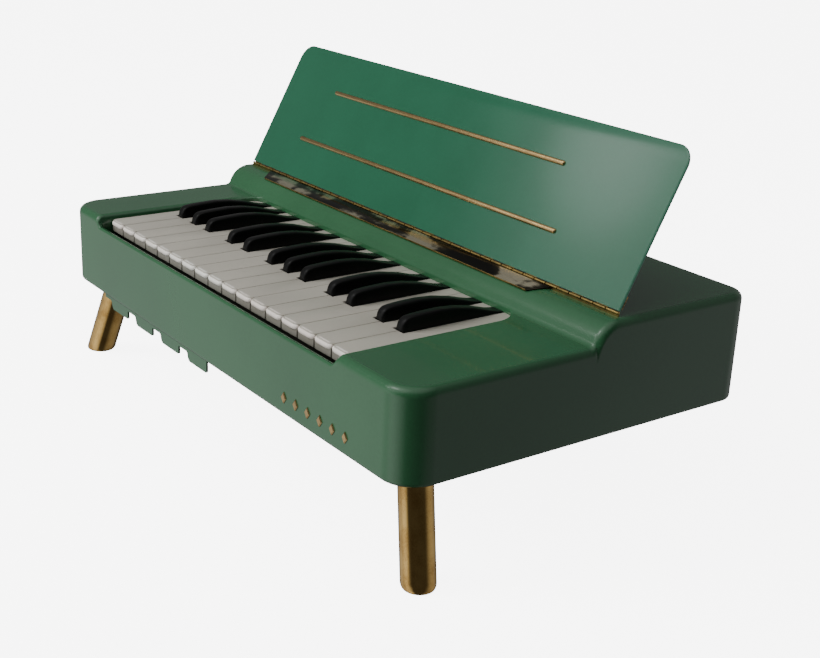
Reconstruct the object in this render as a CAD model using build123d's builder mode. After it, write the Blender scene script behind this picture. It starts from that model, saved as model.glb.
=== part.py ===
"""Small table-top electric reed organ: moulded case on splayed brass legs, 29 sprung keys,
a fold-back music rest with a brass hinge, ledge and strut, and a blower with its wind chest.

Millimetres, +Z up. The origin is on the ground, under the middle of the case."""
from build123d import *
from math import cos, sin, tan, radians, sqrt
import os

os.makedirs("parts", exist_ok=True)

# ---- driving dimensions ----------------------------------------------------------------
case_length = 474.0        # X
case_depth = 286.5         # Y
leg_height = 68.0          # ground to the underside of the case
front_height = 62.7        # underside to the front deck
rear_height = 78.1         # underside to the raised rear deck
wall = 3.0
edge_radius = 5.7
front_corner_radius = 22.7
rear_corner_radius = 15.6
step_start = 141.9         # front face to the foot of the step between the decks
step_foot_radius = 5.0
step_top_radius = 19.0
step_slope = 65.0          # degrees, steepest part of the step

key_pitch = 20.2           # white key to white key
key_gap = 0.5
key_top = 59.2             # underside of the case to the top of the white keys
key_thick = 6.5
key_front = 10.5            # front face of the case to the lip of the white keys
key_dip = 2.6              # degrees
sharp_front = 63.2         # front face to the nose of the black keys
sharp_width = 11.2
sharp_rise = 10.0          # black key crest above the white keys
pivot_back = 188.0         # front face to the key pivots
tail_back = 236.0          # front face to the ends of the keys
rod_radius = 1.5
running_gap = 0.05

well_left = 53.6           # left end of the case to the keyboard opening
well_back = 145.0          # front face to the rear edge of the opening
well_corner = 12.0
front_wall = 4.5           # thickness of the wall in front of the keys
front_wall_top = 55.5      # underside to the top of that wall

hinge_back = 168.3         # front face to the hinge line of the music rest
hinge_height = 80.2
rest_angle = 61.7          # degrees above the rear deck when open
rest_length = 112.0
rest_width = 460.0
rest_thick = 2.2
rest_back = 1.1            # hinge plane to the back of the rest
knuckle = 11.5
knuckle_radius = 1.5
pin_radius = 0.7
strut_length = 52.0
strut_drop = 2.8           # hinge plane to the strut pivot

ledge_back = 166.5         # front face to the rear edge of the ledge
ledge_height = 80.0
ledge_tilt = 13.3          # degrees, down towards the keys
ledge_deep = 13.05
ledge_thick = 0.9
leaf = 0.6                 # hinge leaves

leg_radius = 11.25
leg_inset_x = 28.7         # end of the case to the leg axis at the underside
leg_inset_y = 30.0
leg_out = 23.1             # how far a front foot stands outwards of its top
leg_forward = 10.8

# ---- places worked out from them ---------------------------------------------------------
left, right = -case_length / 2, case_length / 2
front, back = -case_depth / 2, case_depth / 2
base = leg_height
deck = base + front_height
rear_deck = base + rear_height
white_names = "FGABCDEFGABCDEFGA"
keys_wide = key_pitch * len(white_names)
well_x0 = left + well_left
keys_x0 = well_x0 + 0.8
well_x1 = keys_x0 + keys_wide + 0.8
white_z = base + key_top
key_low = white_z - key_thick
pivot_y, pivot_z = front + pivot_back, white_z - key_thick / 2
hinge_y, hinge_z = front + hinge_back, base + hinge_height
lean = radians(rest_angle)
ledge_x0, ledge_x1 = left + 39.7, right - 69.2
tilt = radians(ledge_tilt)
ledge_plane = Plane(origin=(0, front + ledge_back, base + ledge_height), x_dir=(1, 0, 0),
                    z_dir=(0, -sin(tilt), cos(tilt)))
rest_plane = Plane(origin=(0, hinge_y, hinge_z), x_dir=(1, 0, 0), z_dir=(0, -sin(lean), cos(lean)))
strut_pivot = rest_plane.from_local_coords((0, strut_length, -strut_drop))
strut_dir = Vector(0, cos(lean), -sin(lean))
strut_foot = strut_pivot + strut_dir * strut_length
strut_foot_radius = 0.9
sharp_shift = {"F": -2.6, "G": 0.0, "A": 2.6, "C": -2.0, "D": 2.0}
sharp_x = {i: keys_x0 + key_pitch * (i + 1) + sharp_shift[n]
           for i, n in enumerate(white_names[:-1]) if n in sharp_shift}


def save(piece, label):
    """Name a finished piece and write it out."""
    piece.part.label = label
    export_step(piece.part, f"parts/{label}.step")


def block(x0, x1, y0, y1, z0, z1, mode=Mode.ADD):
    """A box given by its limits, for use inside a part."""
    with Locations(((x0 + x1) / 2, (y0 + y1) / 2, (z0 + z1) / 2)):
        Box(x1 - x0, y1 - y0, z1 - z0, mode=mode)


def post(x, y, radius, z0, z1, mode=Mode.ADD):
    """An upright cylinder given by its centre and its two levels."""
    with Locations((x, y, (z0 + z1) / 2)):
        Cylinder(radius, z1 - z0, mode=mode)


def case_form(inset, low):
    """The outer form of the case moved inwards by inset, standing on the level low."""
    half_x, half_y = case_length / 2 - inset, case_depth / 2 - inset
    z_front, z_rear = deck - inset, rear_deck - inset
    foot_r, top_r = step_foot_radius + inset, step_top_radius - inset
    slope = radians(step_slope)
    y0 = front + step_start
    y1 = y0 + foot_r * sin(slope)
    z1 = z_front + foot_r * (1 - cos(slope))
    z2 = z_rear - top_r * (1 - cos(slope))
    y2 = y1 + (z2 - z1) / tan(slope)
    y3 = y2 + top_r * sin(slope)
    bend = radians(step_slope / 2)
    foot_mid = (y0 + foot_r * sin(bend), z_front + foot_r * (1 - cos(bend)))
    top_mid = (y3 - top_r * sin(bend), z_rear - top_r * (1 - cos(bend)))
    with BuildPart() as form:
        with BuildSketch(Plane.XY.offset(low)) as outline:
            Rectangle(2 * half_x, 2 * half_y)
            fillet(outline.vertices().group_by(Axis.Y)[0], front_corner_radius - inset)
            fillet(outline.vertices().group_by(Axis.Y)[-1], rear_corner_radius - inset)
        extrude(amount=z_rear - low + 10)
        with BuildSketch(Plane.YZ.offset(-half_x - 10)) as side:
            with BuildLine():
                Polyline((front - 20, z_front), (front - 20, low), (back + 20, low),
                         (back + 20, z_rear), (y3, z_rear))
                ThreePointArc((y3, z_rear), top_mid, (y2, z2))
                Line((y2, z2), (y1, z1))
                ThreePointArc((y1, z1), foot_mid, (y0, z_front))
                Line((y0, z_front), (front - 20, z_front))
            make_face()
        extrude(amount=2 * half_x + 20, mode=Mode.INTERSECT)
        front_edge = form.edges().filter_by(Axis.X).group_by(Axis.Y)[0].sort_by(Axis.Z)[-1]
        fillet(front_edge, max(edge_radius - inset, 1.0))
    return form.part


# ---- case --------------------------------------------------------------------------------
outer_form = case_form(0, base)
inner_form = case_form(wall, base - 1)
pocket_x = 8.0
pocket_y0, pocket_y1 = hinge_y + strut_length - 5.5, hinge_y + 2 * strut_length + 4
pocket_floor = rear_deck - 2.6
inlet_x, inlet_z = 150.0, base + 28
switch_x, switch_z = 110.0, base + 28

with BuildPart() as case_top:
    add(outer_form)
    add(inner_form, mode=Mode.SUBTRACT)
    # thick lip in front of the keys and cheeks beside them
    block(well_x0 - 8, well_x1 + 8, front + 1, front + front_wall, base + 4, base + front_wall_top)
    block(well_x0 - 8, well_x0, front + 2, front + well_back, deck - 14, deck - 1)
    block(well_x1, well_x1 + 8, front + 2, front + well_back, deck - 14, deck - 1)
    # pocket for the folded strut
    block(-pocket_x - 2, pocket_x + 2, pocket_y0 - 2, pocket_y1 + 2, pocket_floor - 2, rear_deck - 1)
    block(-pocket_x, pocket_x, pocket_y0, pocket_y1, pocket_floor, rear_deck + 1, Mode.SUBTRACT)
    # two ribs in it that the foot of the strut stands on
    for x in (-8.0, 4.4):
        block(x, x + 3.6, pocket_y0, strut_foot.Y + 0.5, pocket_floor - 1,
              strut_foot.Z - strut_foot_radius - 0.05)
    # seats for the ledge and for the hinge leaf below it
    with BuildSketch(ledge_plane.offset(-ledge_thick)) as seat:
        with Locations(((ledge_x0 + ledge_x1) / 2, -ledge_deep / 2 + 1)):
            Rectangle(ledge_x1 - ledge_x0, ledge_deep + 2)
    extrude(amount=4, mode=Mode.SUBTRACT)
    with BuildSketch(ledge_plane.offset(-ledge_thick - leaf)) as seat:
        with Locations((0, -2.4)):
            Rectangle(rest_width, 7.2)
    extrude(amount=4, mode=Mode.SUBTRACT)
    # keyboard opening, with the front wall lower than the deck
    with BuildSketch(Plane.XY.offset(base + front_wall_top)) as notch:
        with Locations(((well_x0 + well_x1) / 2, front + (well_back - 10) / 2)):
            Rectangle(well_x1 - well_x0, well_back + 10)
        fillet(notch.vertices().group_by(Axis.Y)[-1], well_corner)
    extrude(amount=40, mode=Mode.SUBTRACT)
    with BuildSketch(Plane.XY.offset(base + 8)) as well:
        with Locations(((well_x0 + well_x1) / 2, front + (well_back + front_wall) / 2)):
            Rectangle(well_x1 - well_x0, well_back - front_wall)
        fillet(well.vertices().group_by(Axis.Y)[-1], well_corner)
    extrude(amount=60, mode=Mode.SUBTRACT)
    # rear wall cut-outs for the mains inlet and the switch
    block(inlet_x - 20, inlet_x + 20, back - 6, back + 1, inlet_z - 12, inlet_z + 12, Mode.SUBTRACT)
    block(switch_x - 7, switch_x + 7, back - 6, back + 1, switch_z - 11, switch_z + 11, Mode.SUBTRACT)
save(case_top, "case_top")

# ---- base plate with its legs and sockets -------------------------------------------------
plate_thick = 3.0
plate_gap = 0.3
foot_y = front + leg_inset_y
rear_leg_y = back - 38.0
rear_leg_back = 24.0


def leg_frame(x, y, out, ahead):
    """Plane at the underside of the case, with Z down along a splayed leg."""
    return Plane(origin=(x, y, base), z_dir=(out, ahead, -leg_height))


legs = {
    "leg_front_left": leg_frame(left + leg_inset_x, foot_y, -leg_out, -leg_forward),
    "leg_front_right": leg_frame(right - leg_inset_x, foot_y, leg_out, -leg_forward),
    "leg_rear": leg_frame(0, rear_leg_y, 0, rear_leg_back),
}
stud_radius = 4.0
stud_length = 14.0
screw_places = [(x, y) for x in (left + 14, -75, 75, right - 14) for y in (front + 62, back - 14)]

with BuildPart() as base_plate:
    with BuildSketch(Plane.XY.offset(base)) as outline:
        Rectangle(case_length - 2 * (wall + plate_gap), case_depth - 2 * (wall + plate_gap))
        fillet(outline.vertices().group_by(Axis.Y)[0], front_corner_radius - wall)
        fillet(outline.vertices().group_by(Axis.Y)[-1], rear_corner_radius - wall)
    extrude(amount=plate_thick)
    for frame in legs.values():
        with BuildSketch(frame.offset(-20)) as hole:
            Circle(stud_radius + 0.2)
        extrude(amount=25, mode=Mode.SUBTRACT)
    for x, y in screw_places:
        post(x, y, 1.8, base - 1, base + 5, Mode.SUBTRACT)
    # rows of air slots under the blower
    for row in range(7):
        y = front + 70 + 9 * row
        block(right - 62, right - 22, y, y + 4, base - 1, base + 5, Mode.SUBTRACT)
save(base_plate, "base_plate")

for label, frame in legs.items():
    with BuildPart() as leg:
        with BuildSketch(frame.offset(-12)) as tube:
            Circle(leg_radius)
        extrude(amount=100)
        block(left - 60, right + 60, front - 60, back + 60, -60, 0, Mode.SUBTRACT)
        block(left - 60, right + 60, front - 60, back + 60, base, base + 40, Mode.SUBTRACT)
        fillet(leg.edges().group_by(Axis.Z)[0], 2.0)
        with BuildSketch(frame.offset(-stud_length)) as stud:
            Circle(stud_radius)
        extrude(amount=stud_length + 6)
    save(leg, label)

with BuildPart() as leg_sockets:
    for frame in legs.values():
        x, y = frame.origin.X, frame.origin.Y
        with BuildSketch(frame.offset(-18)) as boss:
            Circle(8)
        extrude(amount=30)
    block(left - 60, right + 60, front - 60, back + 60, base - 40, base + plate_thick, Mode.SUBTRACT)
    for frame in legs.values():
        x, y = frame.origin.X, frame.origin.Y
        block(x - 14, x + 14, y - 14, y + 14, base + plate_thick, base + plate_thick + 2.5)
    for frame in legs.values():
        with BuildSketch(frame.offset(-30)) as bore:
            Circle(stud_radius + running_gap)
        extrude(amount=40, mode=Mode.SUBTRACT)
save(leg_sockets, "leg_sockets")

with BuildPart() as base_screws:
    for x, y in screw_places:
        post(x, y, 3.2, base - 1.4, base)
        post(x, y, 1.6, base, base + 12)
save(base_screws, "base_screws")

# ---- four tabs under the front edge ---------------------------------------------------------
tab_pitch = 43.5
tab_width = 27.3
tab_drop = 9.2
strip_drop = 2.6
tab_thick = 1.6
tab_right = right - 242.4   # right edge of the rightmost tab
tab_face = front + 2.0
with BuildPart() as vent_comb:
    x_end = tab_right
    x_start = tab_right - 3 * tab_pitch - tab_width - 14
    block(x_start, x_end, tab_face, tab_face + tab_thick, base - strip_drop, base)
    block(x_start, x_end, tab_face, tab_face + 11, base - 1.2, base)
    for i in range(4):
        x1 = tab_right - i * tab_pitch
        x0 = x1 - tab_width
        with BuildSketch(Plane.XZ.offset(-tab_face)) as tab:
            with BuildLine():
                Spline((x0 - 4, base - strip_drop), (x0 - 1.5, base - 6.4), (x0 + 2, base - tab_drop),
                       tangents=((1, -0.1), (1, -0.1)))
                Polyline((x0 + 2, base - tab_drop), (x1 - 1, base - tab_drop), (x1, base - tab_drop + 1),
                         (x1, base - strip_drop + 0.5), (x0 - 4, base - strip_drop + 0.5),
                         (x0 - 4, base - strip_drop))
            make_face()
        extrude(amount=-tab_thick)
save(vent_comb, "vent_comb")

# ---- keys ------------------------------------------------------------------------------------


def key_hole():
    """The pivot hole through the key that is being built."""
    with BuildSketch(Plane.YZ.offset(left)) as hole:
        with Locations((pivot_y, pivot_z)):
            Circle(rod_radius + running_gap)
    extrude(hole.sketch, amount=case_length, mode=Mode.SUBTRACT)


half_gap = key_gap / 2
sharp_clear = sharp_width / 2 + 0.5
for i, note in enumerate(white_names):
    x0 = keys_x0 + i * key_pitch + half_gap
    x1 = x0 + key_pitch - key_gap
    neck0 = sharp_x[i - 1] + sharp_clear if i - 1 in sharp_x else x0
    neck1 = sharp_x[i] - sharp_clear if i in sharp_x else x1
    with BuildPart() as key:
        # rounded lip standing a little proud of the skirt
        block(x0, x1, front + key_front, front + key_front + 6, white_z - 3.4, white_z)
        lip = key.edges().group_by(Axis.Y)[0]
        fillet(lip, 1.5)
        block(x0, x1, front + key_front + 0.8, front + key_front + 4, key_low, white_z - 1.7)
        block(x0, x1, front + key_front + 3, front + sharp_front - 0.6, key_low, white_z)
        block(neck0, neck1, front + sharp_front - 3, front + tail_back, key_low, white_z)
        # the tail is thinner behind the pivot, and carries the pallet that covers the reed
        block(neck0 - 5, neck1 + 5, pivot_y + 8, front + tail_back + 5, white_z - 2.0, white_z + 5,
              Mode.SUBTRACT)
        post((neck0 + neck1) / 2, front + tail_back - 9, 4.2, key_low - 2.2, key_low)
        key_hole()
    save(key, f"white_key_{i + 1:02d}")

nose_y = front + sharp_front
crest_y = nose_y + 31.0
sharp_end = front + well_back + 3.7
for n, (i, x) in enumerate(sharp_x.items()):
    with BuildPart() as key:
        with BuildSketch(Plane.YZ.offset(x - sharp_width / 2)) as side:
            with BuildLine():
                Line((nose_y, key_low), (nose_y, white_z + 0.5 * sharp_rise))
                Spline((nose_y, white_z + 0.5 * sharp_rise), (nose_y + 4.2, white_z + 0.86 * sharp_rise),
                       (crest_y, white_z + sharp_rise), (nose_y + 58, white_z + 0.66 * sharp_rise),
                       (nose_y + 74, white_z + 0.2 * sharp_rise), (sharp_end, white_z + 0.25),
                       tangents=((0, 1), (1, 0)))
                Polyline((sharp_end, white_z + 0.25), (sharp_end, key_low), (nose_y, key_low))
            make_face()
        extrude(amount=sharp_width)
        block(x - sharp_width / 2 + 0.6, x + sharp_width / 2 - 0.6, front + well_back, front + tail_back,
              key_low, white_z)
        block(x - 8, x + 8, pivot_y + 8, front + tail_back + 5, white_z - 2.0, white_z + 5, Mode.SUBTRACT)
        post(x, front + tail_back - 9, 4.2, key_low - 2.2, key_low)
        key_hole()
    save(key, f"black_key_{n + 1:02d}")

# ---- what carries the keys ---------------------------------------------------------------------
rail_y0, rail_y1 = pivot_y - 8, pivot_y + 8
rail_top = key_low - 3.0
rod_x0, rod_x1 = keys_x0 - 5, keys_x0 + keys_wide + 5
with BuildPart() as key_rail:
    block(keys_x0 - 8, keys_x0 + keys_wide + 8, rail_y0, rail_y1, rail_top - 8, rail_top)
    for x in (keys_x0 - 6.5, keys_x0 + keys_wide + 2.5):
        block(x, x + 4, rail_y0, rail_y1, rail_top, pivot_z + 5)
    for x in (keys_x0 - 6, keys_x0 + keys_wide / 2 - 5, keys_x0 + keys_wide - 4):
        block(x, x + 10, rail_y0 + 3, rail_y1 - 3, base + plate_thick, rail_top - 8)
    with BuildSketch(Plane.YZ.offset(left)) as hole:
        with Locations((pivot_y, pivot_z)):
            Circle(rod_radius + running_gap)
    extrude(amount=case_length, mode=Mode.SUBTRACT)
save(key_rail, "key_rail")

with BuildPart() as key_pivot_rod:
    with BuildSketch(Plane.YZ.offset(rod_x0)) as rod:
        with Locations((pivot_y, pivot_z)):
            Circle(rod_radius)
    extrude(amount=rod_x1 - rod_x0)
save(key_pivot_rod, "key_pivot_rod")

# leaf springs on the rail: one blade under each key, just clear of it
blades = sorted([keys_x0 + (i + 0.5) * key_pitch for i in range(len(white_names))] + list(sharp_x.values()))
chest_y0, chest_y1 = pivot_y + 12, front + tail_back + 6
chest_x0, chest_x1 = keys_x0 - 4, keys_x0 + keys_wide + 4
chest_top = key_low - 2.4
chest_low = chest_top - 26
with BuildPart() as key_springs:
    block(keys_x0, keys_x0 + keys_wide, rail_y0 - 0.8, rail_y0, rail_top - 7, rail_top - 1)
    for x in blades:
        with BuildSketch(Plane.YZ.offset(x - 1.5)) as blade:
            with BuildLine():
                Polyline((rail_y0 - 0.8, rail_top - 4), (rail_y0 - 30, key_low - 5.2),
                         (rail_y0 - 30, key_low - 4.7), (rail_y0 - 0.8, rail_top - 3.4), close=True)
            make_face()
        extrude(amount=3)
save(key_springs, "key_springs")

# felt-covered rail that the keys come down on
dip = radians(key_dip)
felt_y0, felt_y1 = front + 22, front + 34
felt_top = key_low - (pivot_y - felt_y0) * tan(dip) - 0.5
with BuildPart() as key_stop_rail:
    block(keys_x0 - 4, keys_x0 + keys_wide + 4, felt_y0, felt_y1, felt_top - 8, felt_top - 2)
    for x in (keys_x0 - 3, keys_x0 + keys_wide / 2 - 4, keys_x0 + keys_wide - 5):
        block(x, x + 8, felt_y0 + 2, felt_y1 - 2, base + plate_thick, felt_top - 8)
save(key_stop_rail, "key_stop_rail")
with BuildPart() as key_stop_felt:
    block(keys_x0 - 4, keys_x0 + keys_wide + 4, felt_y0, felt_y1, felt_top - 2, felt_top)
save(key_stop_felt, "key_stop_felt")

# ---- wind chest and reeds ------------------------------------------------------------------------
with BuildPart() as wind_chest:
    block(chest_x0, chest_x1, chest_y0, chest_y1, chest_low, chest_top)
    block(chest_x0 + 4, chest_x1 - 4, chest_y0 + 4, chest_y1 - 4, chest_low + 4, chest_top - 4, Mode.SUBTRACT)
    for x in (chest_x0 + 2, chest_x1 - 12):
        block(x, x + 10, chest_y0 + 4, chest_y1 - 4, base + plate_thick, chest_low)
    vents = [keys_x0 + (i + 0.5) * key_pitch for i in range(len(white_names))]
    for i in range(len(white_names)):
        neck0 = sharp_x[i - 1] + sharp_clear if i - 1 in sharp_x else keys_x0 + i * key_pitch
        neck1 = sharp_x[i] - sharp_clear if i in sharp_x else keys_x0 + (i + 1) * key_pitch
        vents[i] = (neck0 + neck1) / 2
    vents = sorted(vents + list(sharp_x.values()))
    for x in vents:
        post(x, front + tail_back - 9, 3.0, chest_top - 5, chest_top + 1, Mode.SUBTRACT)
    # inlet for the duct
    with BuildSketch(Plane.YZ.offset(chest_x1 - 5)) as mouth:
        with Locations(((chest_y0 + chest_y1) / 2, (chest_low + chest_top) / 2)):
            Circle(7)
    extrude(amount=6, mode=Mode.SUBTRACT)
save(wind_chest, "wind_chest")

with BuildPart() as reed_plates:
    for x in vents:
        y = front + tail_back - 9
        block(x - 4, x + 4, y - 22, y + 6, chest_top - 5.2, chest_top - 4)
        block(x - 1.2, x + 1.2, y - 19, y - 2, chest_top - 6, chest_top - 3, Mode.SUBTRACT)
        block(x - 1.0, x + 1.0, y - 21, y - 2.5, chest_top - 5.5, chest_top - 5.2)
save(reed_plates, "reed_plates")

# ---- blower ------------------------------------------------------------------------------------------
blower_x, blower_y = right - 38.0, front + 96.0
blower_low = base + plate_thick + 1
blower_radius = 27.0
blower_high = 18.0
with BuildPart() as blower_housing:
    post(blower_x, blower_y, blower_radius, blower_low, blower_low + blower_high)
    block(blower_x, blower_x + blower_radius, blower_y, blower_y + 48, blower_low, blower_low + blower_high)
    post(blower_x, blower_y, blower_radius - 2, blower_low + 2, blower_low + blower_high - 2, Mode.SUBTRACT)
    block(blower_x + 8, blower_x + blower_radius - 2, blower_y, blower_y + 49, blower_low + 2,
          blower_low + blower_high - 2, Mode.SUBTRACT)
    post(blower_x, blower_y, 12, blower_low - 1, blower_low + 3, Mode.SUBTRACT)
    post(blower_x, blower_y, 4, blower_low, blower_low + blower_high + 1, Mode.SUBTRACT)
save(blower_housing, "blower_housing")

motor_low = blower_low + blower_high
with BuildPart() as blower_motor:
    post(blower_x, blower_y, 20, motor_low, motor_low + 24)
    for y in (blower_y - 23, blower_y + 17):
        block(blower_x - 14, blower_x + 14, y, y + 6, motor_low, motor_low + 18)
    post(blower_x, blower_y, 2 + running_gap, motor_low - 1, motor_low + 12, Mode.SUBTRACT)
save(blower_motor, "blower_motor")

with BuildPart() as blower_fan:
    post(blower_x, blower_y, 2, blower_low + 4, motor_low + 11)
    post(blower_x, blower_y, 22, blower_low + 4, blower_low + 5.2)
    for k in range(18):
        with BuildSketch(Plane.XY.offset(blower_low + 5.2)) as vane:
            with Locations(Location((blower_x, blower_y, 0), (0, 0, 20 * k))):
                with Locations(Location((17.5, 0, 0), (0, 0, 30))):
                    Rectangle(8, 0.9)
        extrude(amount=9)
save(blower_fan, "blower_fan")

duct_z = (chest_low + chest_top) / 2
duct_y = (chest_y0 + chest_y1) / 2
duct_x = blower_x + 16.5
with BuildPart() as air_duct:
    with BuildLine() as route:
        FilletPolyline((duct_x, blower_y + 48, blower_low + 9), (duct_x, duct_y, blower_low + 9),
                       (duct_x, duct_y, duct_z), (chest_x1, duct_y, duct_z), radius=9)
    with BuildSketch(Plane(origin=route.line @ 0, z_dir=route.line % 0)) as bore:
        Circle(6.5)
        Circle(5, mode=Mode.SUBTRACT)
    sweep()
save(air_duct, "air_duct")

# ---- mains inlet and switch -----------------------------------------------------------------------------
with BuildPart() as mains_inlet:
    block(inlet_x - 22, inlet_x + 22, back, back + 1.0, inlet_z - 14, inlet_z + 14)
    block(inlet_x - 19.8, inlet_x + 19.8, back - 20, back, inlet_z - 11.8, inlet_z + 11.8)
    block(inlet_x - 17, inlet_x + 17, back - 17, back + 2, inlet_z - 9, inlet_z + 9, Mode.SUBTRACT)
    for x in (inlet_x - 9.5, inlet_x + 9.5):
        with BuildSketch(Plane.XZ.offset(-(back - 2))) as pin:
            with Locations((x, inlet_z)):
                Circle(3)
        extrude(amount=15.5)
save(mains_inlet, "mains_inlet")

rocker_y = back - 6.6
with BuildPart() as switch_body:
    block(switch_x - 9, switch_x + 9, back, back + 1.0, switch_z - 13, switch_z + 13)
    block(switch_x - 6.8, switch_x + 6.8, back - 16, back, switch_z - 10.8, switch_z + 10.8)
    block(switch_x - 5.4, switch_x + 5.4, back - 13, back + 2, switch_z - 9.2, switch_z + 9.2, Mode.SUBTRACT)
    with BuildSketch(Plane.YZ.offset(switch_x - 5.4)) as pivot:
        with Locations((rocker_y, switch_z)):
            Circle(1.2)
    extrude(amount=10.8)
save(switch_body, "switch_body")

with BuildPart() as switch_rocker:
    with BuildSketch(Plane.YZ.offset(switch_x - 5.0)) as side:
        with BuildLine():
            Polyline((rocker_y - 3, switch_z - 4), (rocker_y + 5, switch_z - 7.6), (rocker_y + 6.2, switch_z - 7.6),
                     (rocker_y + 5.6, switch_z), (rocker_y + 7.6, switch_z + 7.0), (rocker_y + 6.6, switch_z + 7.6),
                     (rocker_y - 3, switch_z + 4), close=True)
        make_face()
        with Locations((rocker_y, switch_z)):
            Circle(1.2 + running_gap, mode=Mode.SUBTRACT)
    extrude(amount=10.0)
save(switch_rocker, "switch_rocker")

# ---- music rest --------------------------------------------------------------------------------------------
sheet_low = -rest_back
sheet_top = sheet_low + rest_thick
sheet_start = 2.0
with BuildPart() as music_rest:
    with BuildSketch(rest_plane.offset(sheet_low)) as sheet:
        with Locations((0, sheet_start + rest_length / 2)):
            Rectangle(rest_width, rest_length)
        fillet(sheet.vertices().group_by(Axis.Y)[-1], 13.0)
    extrude(amount=rest_thick)
    through = Axis((0, 0, 0), rest_plane.z_dir)
    for side in (0, -1):
        rim = music_rest.faces().sort_by(through)[side].edges()
        fillet(rim.filter_by(lambda e: (e @ 0.5).Z > hinge_z + 5), 0.7)
save(music_rest, "music_rest")

strip_middle = -13.0       # the strips are centred on the keyboard
strip_radius = 1.9
for label, along, length in (("rest_strip_lower", 34.4, 325.7), ("rest_strip_upper", 80.0, 286.6)):
    with BuildPart() as strip:
        with BuildSketch(Plane(origin=rest_plane.from_local_coords((strip_middle - length / 2, along, sheet_top)),
                               x_dir=rest_plane.y_dir, z_dir=(1, 0, 0))) as section:
            Circle(strip_radius)
            with Locations((0, -strip_radius)):
                Rectangle(4 * strip_radius, 2 * strip_radius, mode=Mode.SUBTRACT)
        extrude(amount=length)
    save(strip, label)

def hinge_knuckles(first):
    """Every second knuckle along the hinge, starting with the first or second."""
    count = int(rest_width / knuckle)
    for k in range(first, count, 2):
        x = -rest_width / 2 + k * knuckle
        with BuildSketch(Plane.YZ.offset(x + 0.1)) as ring:
            with Locations((hinge_y, hinge_z)):
                Circle(knuckle_radius)
        extrude(ring.sketch, amount=knuckle - 0.2)


def hinge_bore(radius):
    """Clear the pin's hole along the whole hinge."""
    with BuildSketch(Plane.YZ.offset(-rest_width / 2 - 1)) as bore:
        with Locations((hinge_y, hinge_z)):
            Circle(radius)
    extrude(bore.sketch, amount=rest_width + 2, mode=Mode.SUBTRACT)


with BuildPart() as hinge_leaf_rest:
    with BuildSketch(rest_plane.offset(sheet_low - leaf)) as strip:
        with Locations((0, 2.2 + 5)):
            Rectangle(rest_width, 10)
    extrude(amount=leaf)
    with BuildSketch(rest_plane.offset(sheet_low - leaf)) as webs:
        for k in range(0, int(rest_width / knuckle), 2):
            with Locations((-rest_width / 2 + (k + 0.5) * knuckle, 1.3)):
                Rectangle(knuckle - 0.2, 2.6)
    extrude(amount=leaf)
    hinge_knuckles(0)
    hinge_bore(pin_radius + running_gap)
save(hinge_leaf_rest, "hinge_leaf_rest")

with BuildPart() as hinge_leaf_case:
    with BuildSketch(ledge_plane.offset(-ledge_thick - leaf)) as strip:
        with Locations((0, -2.85)):
            Rectangle(rest_width, 6.1)
    extrude(amount=leaf)
    for k in range(1, int(rest_width / knuckle), 2):
        x = -rest_width / 2 + k * knuckle
        block(x + 0.1, x + knuckle - 0.1, hinge_y - 1.6, hinge_y, rear_deck + 0.1, rear_deck + 0.8)
    hinge_knuckles(1)
    # the pin is pressed into these knuckles and made in one with them
    with BuildSketch(Plane.YZ.offset(-rest_width / 2)) as rod:
        with Locations((hinge_y, hinge_z)):
            Circle(pin_radius)
    extrude(amount=rest_width)
save(hinge_leaf_case, "hinge_leaf_case")

# ledge: a thin plate on the shoulder of the step, with cut-off corners and a turned-down lip
corner_cut = 10.5
with BuildPart() as music_ledge:
    with BuildSketch(ledge_plane.offset(-ledge_thick)) as outline:
        with BuildLine():
            Polyline((ledge_x0, 0), (ledge_x0 + corner_cut, -ledge_deep), (ledge_x1 - corner_cut, -ledge_deep),
                     (ledge_x1, 0), close=True)
        make_face()
    extrude(amount=ledge_thick)
    with BuildSketch(ledge_plane.offset(-ledge_thick)) as lip:
        with Locations(((ledge_x0 + ledge_x1) / 2, -ledge_deep + 0.4)):
            Rectangle(ledge_x1 - ledge_x0 - 2 * corner_cut, 0.8)
    extrude(amount=-0.55)
save(music_ledge, "music_ledge")

# ---- strut that holds the rest up ---------------------------------------------------------------------------
strut_plane = Plane(origin=strut_pivot, x_dir=(1, 0, 0), z_dir=(0, sin(lean), cos(lean)))
strut_pin_radius = 0.7
with BuildPart() as strut_bracket:
    with BuildSketch(rest_plane.offset(sheet_low - 0.7)) as pad:
        with Locations((-4.6, strut_length), (4.6, strut_length)):
            Rectangle(4.8, 9)
    extrude(amount=0.7)
    for x in (-3.9, 2.3):
        with BuildSketch(Plane.YZ.offset(x)) as ear:
            with Locations((strut_pivot.Y, strut_pivot.Z)):
                Circle(1.5)
        extrude(amount=1.6)
    with BuildSketch(Plane.YZ.offset(-3.9)) as pin:
        with Locations((strut_pivot.Y, strut_pivot.Z)):
            Circle(strut_pin_radius)
    extrude(amount=7.8)
save(strut_bracket, "strut_bracket")

with BuildPart() as rest_strut:
    with BuildSketch(strut_plane.offset(-0.6)) as blade:
        with Locations((0, 2.8)):
            Rectangle(3.4, 5.6)
        with Locations((0, (strut_length + 5) / 2)):
            Rectangle(11, strut_length - 5)
    extrude(amount=1.2)
    with BuildSketch(Plane.YZ.offset(-1.7)) as eye:
        with Locations((strut_pivot.Y, strut_pivot.Z)):
            Circle(1.5)
    extrude(amount=3.4)
    with BuildSketch(Plane.YZ.offset(-6.5)) as foot:
        with Locations((strut_foot.Y, strut_foot.Z)):
            Circle(strut_foot_radius)
    extrude(amount=13)
    with BuildSketch(Plane.YZ.offset(-10)) as bore:
        with Locations((strut_pivot.Y, strut_pivot.Z)):
            Circle(strut_pin_radius + running_gap)
    extrude(amount=20, mode=Mode.SUBTRACT)
save(rest_strut, "rest_strut")

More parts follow.
